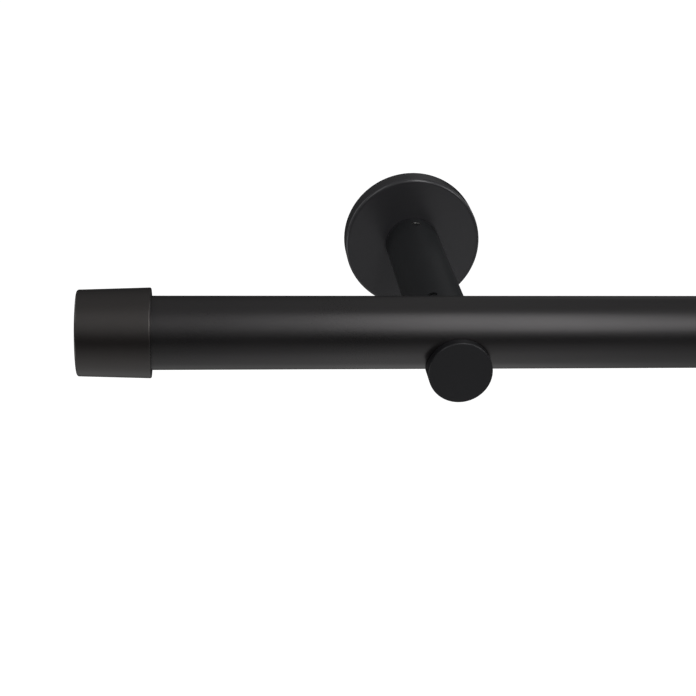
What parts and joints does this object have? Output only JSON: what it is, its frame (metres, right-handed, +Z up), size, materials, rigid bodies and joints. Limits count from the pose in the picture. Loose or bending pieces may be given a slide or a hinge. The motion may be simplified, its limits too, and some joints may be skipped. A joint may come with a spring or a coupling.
{
  "type": "telescopic curtain rod on wall brackets",
  "caption": "Telescopic round curtain rod with tapered end caps, lying in notched round arms that stand on covered wall plates.",
  "frame": {"origin": "centre of the left bracket's back face, where it meets the wall, on the arm's axis", "axes": "+X along the rod to the right, +Y into the wall, +Z up"},
  "size_m": [0.711, 0.1395, 0.0576],
  "materials": {
    "tube_paint": "satin black powder coat on steel tube",
    "cap_paint": "satin black powder coat on a turned cap",
    "bracket_paint": "matte black powder coat",
    "zinc_plate": "bright zinc plated steel",
    "screw_black": "black oxide steel",
    "black_nylon": "moulded black nylon"
  },
  "bodies": {
    "wall_left": {"left_wall_base": "zinc_plate", "left_wall_cover": "bracket_paint", "left_arm_tube": "bracket_paint", "left_arm_screw": "screw_black", "left_cradle_screw": "screw_black"},
    "rod_outer": {"left_cradle": "bracket_paint", "outer_tube": "tube_paint", "outer_tube_bush": "black_nylon", "left_end_cap": "cap_paint", "left_cap_screw": "screw_black"},
    "rod_inner": {"inner_tube": "tube_paint", "inner_tube_glide": "black_nylon", "right_cradle": "bracket_paint", "right_end_cap": "cap_paint", "right_cap_screw": "screw_black", "right_cap_sleeve": "black_nylon"},
    "wall_right": {"right_wall_base": "zinc_plate", "right_wall_cover": "bracket_paint", "right_arm_tube": "bracket_paint", "right_arm_screw": "screw_black", "right_cradle_screw": "screw_black"}
  },
  "joints": [
    {"name": "left_projection", "type": "slide", "parent": "wall_left", "child": "rod_outer", "axis": [0, -1, 0], "range_m": [0, 0.03]},
    {"name": "rod_extension", "type": "slide", "parent": "rod_outer", "child": "rod_inner", "axis": [1, 0, 0], "range_m": [0, 0.457]},
    {"name": "right_projection", "type": "slide", "parent": "rod_inner", "child": "wall_right", "axis": [0, 1, 0], "range_m": [0, 0.03]}
  ],
  "couplings": [
    {"joint": "right_projection", "follows": "left_projection", "ratio": 1}
  ]
}
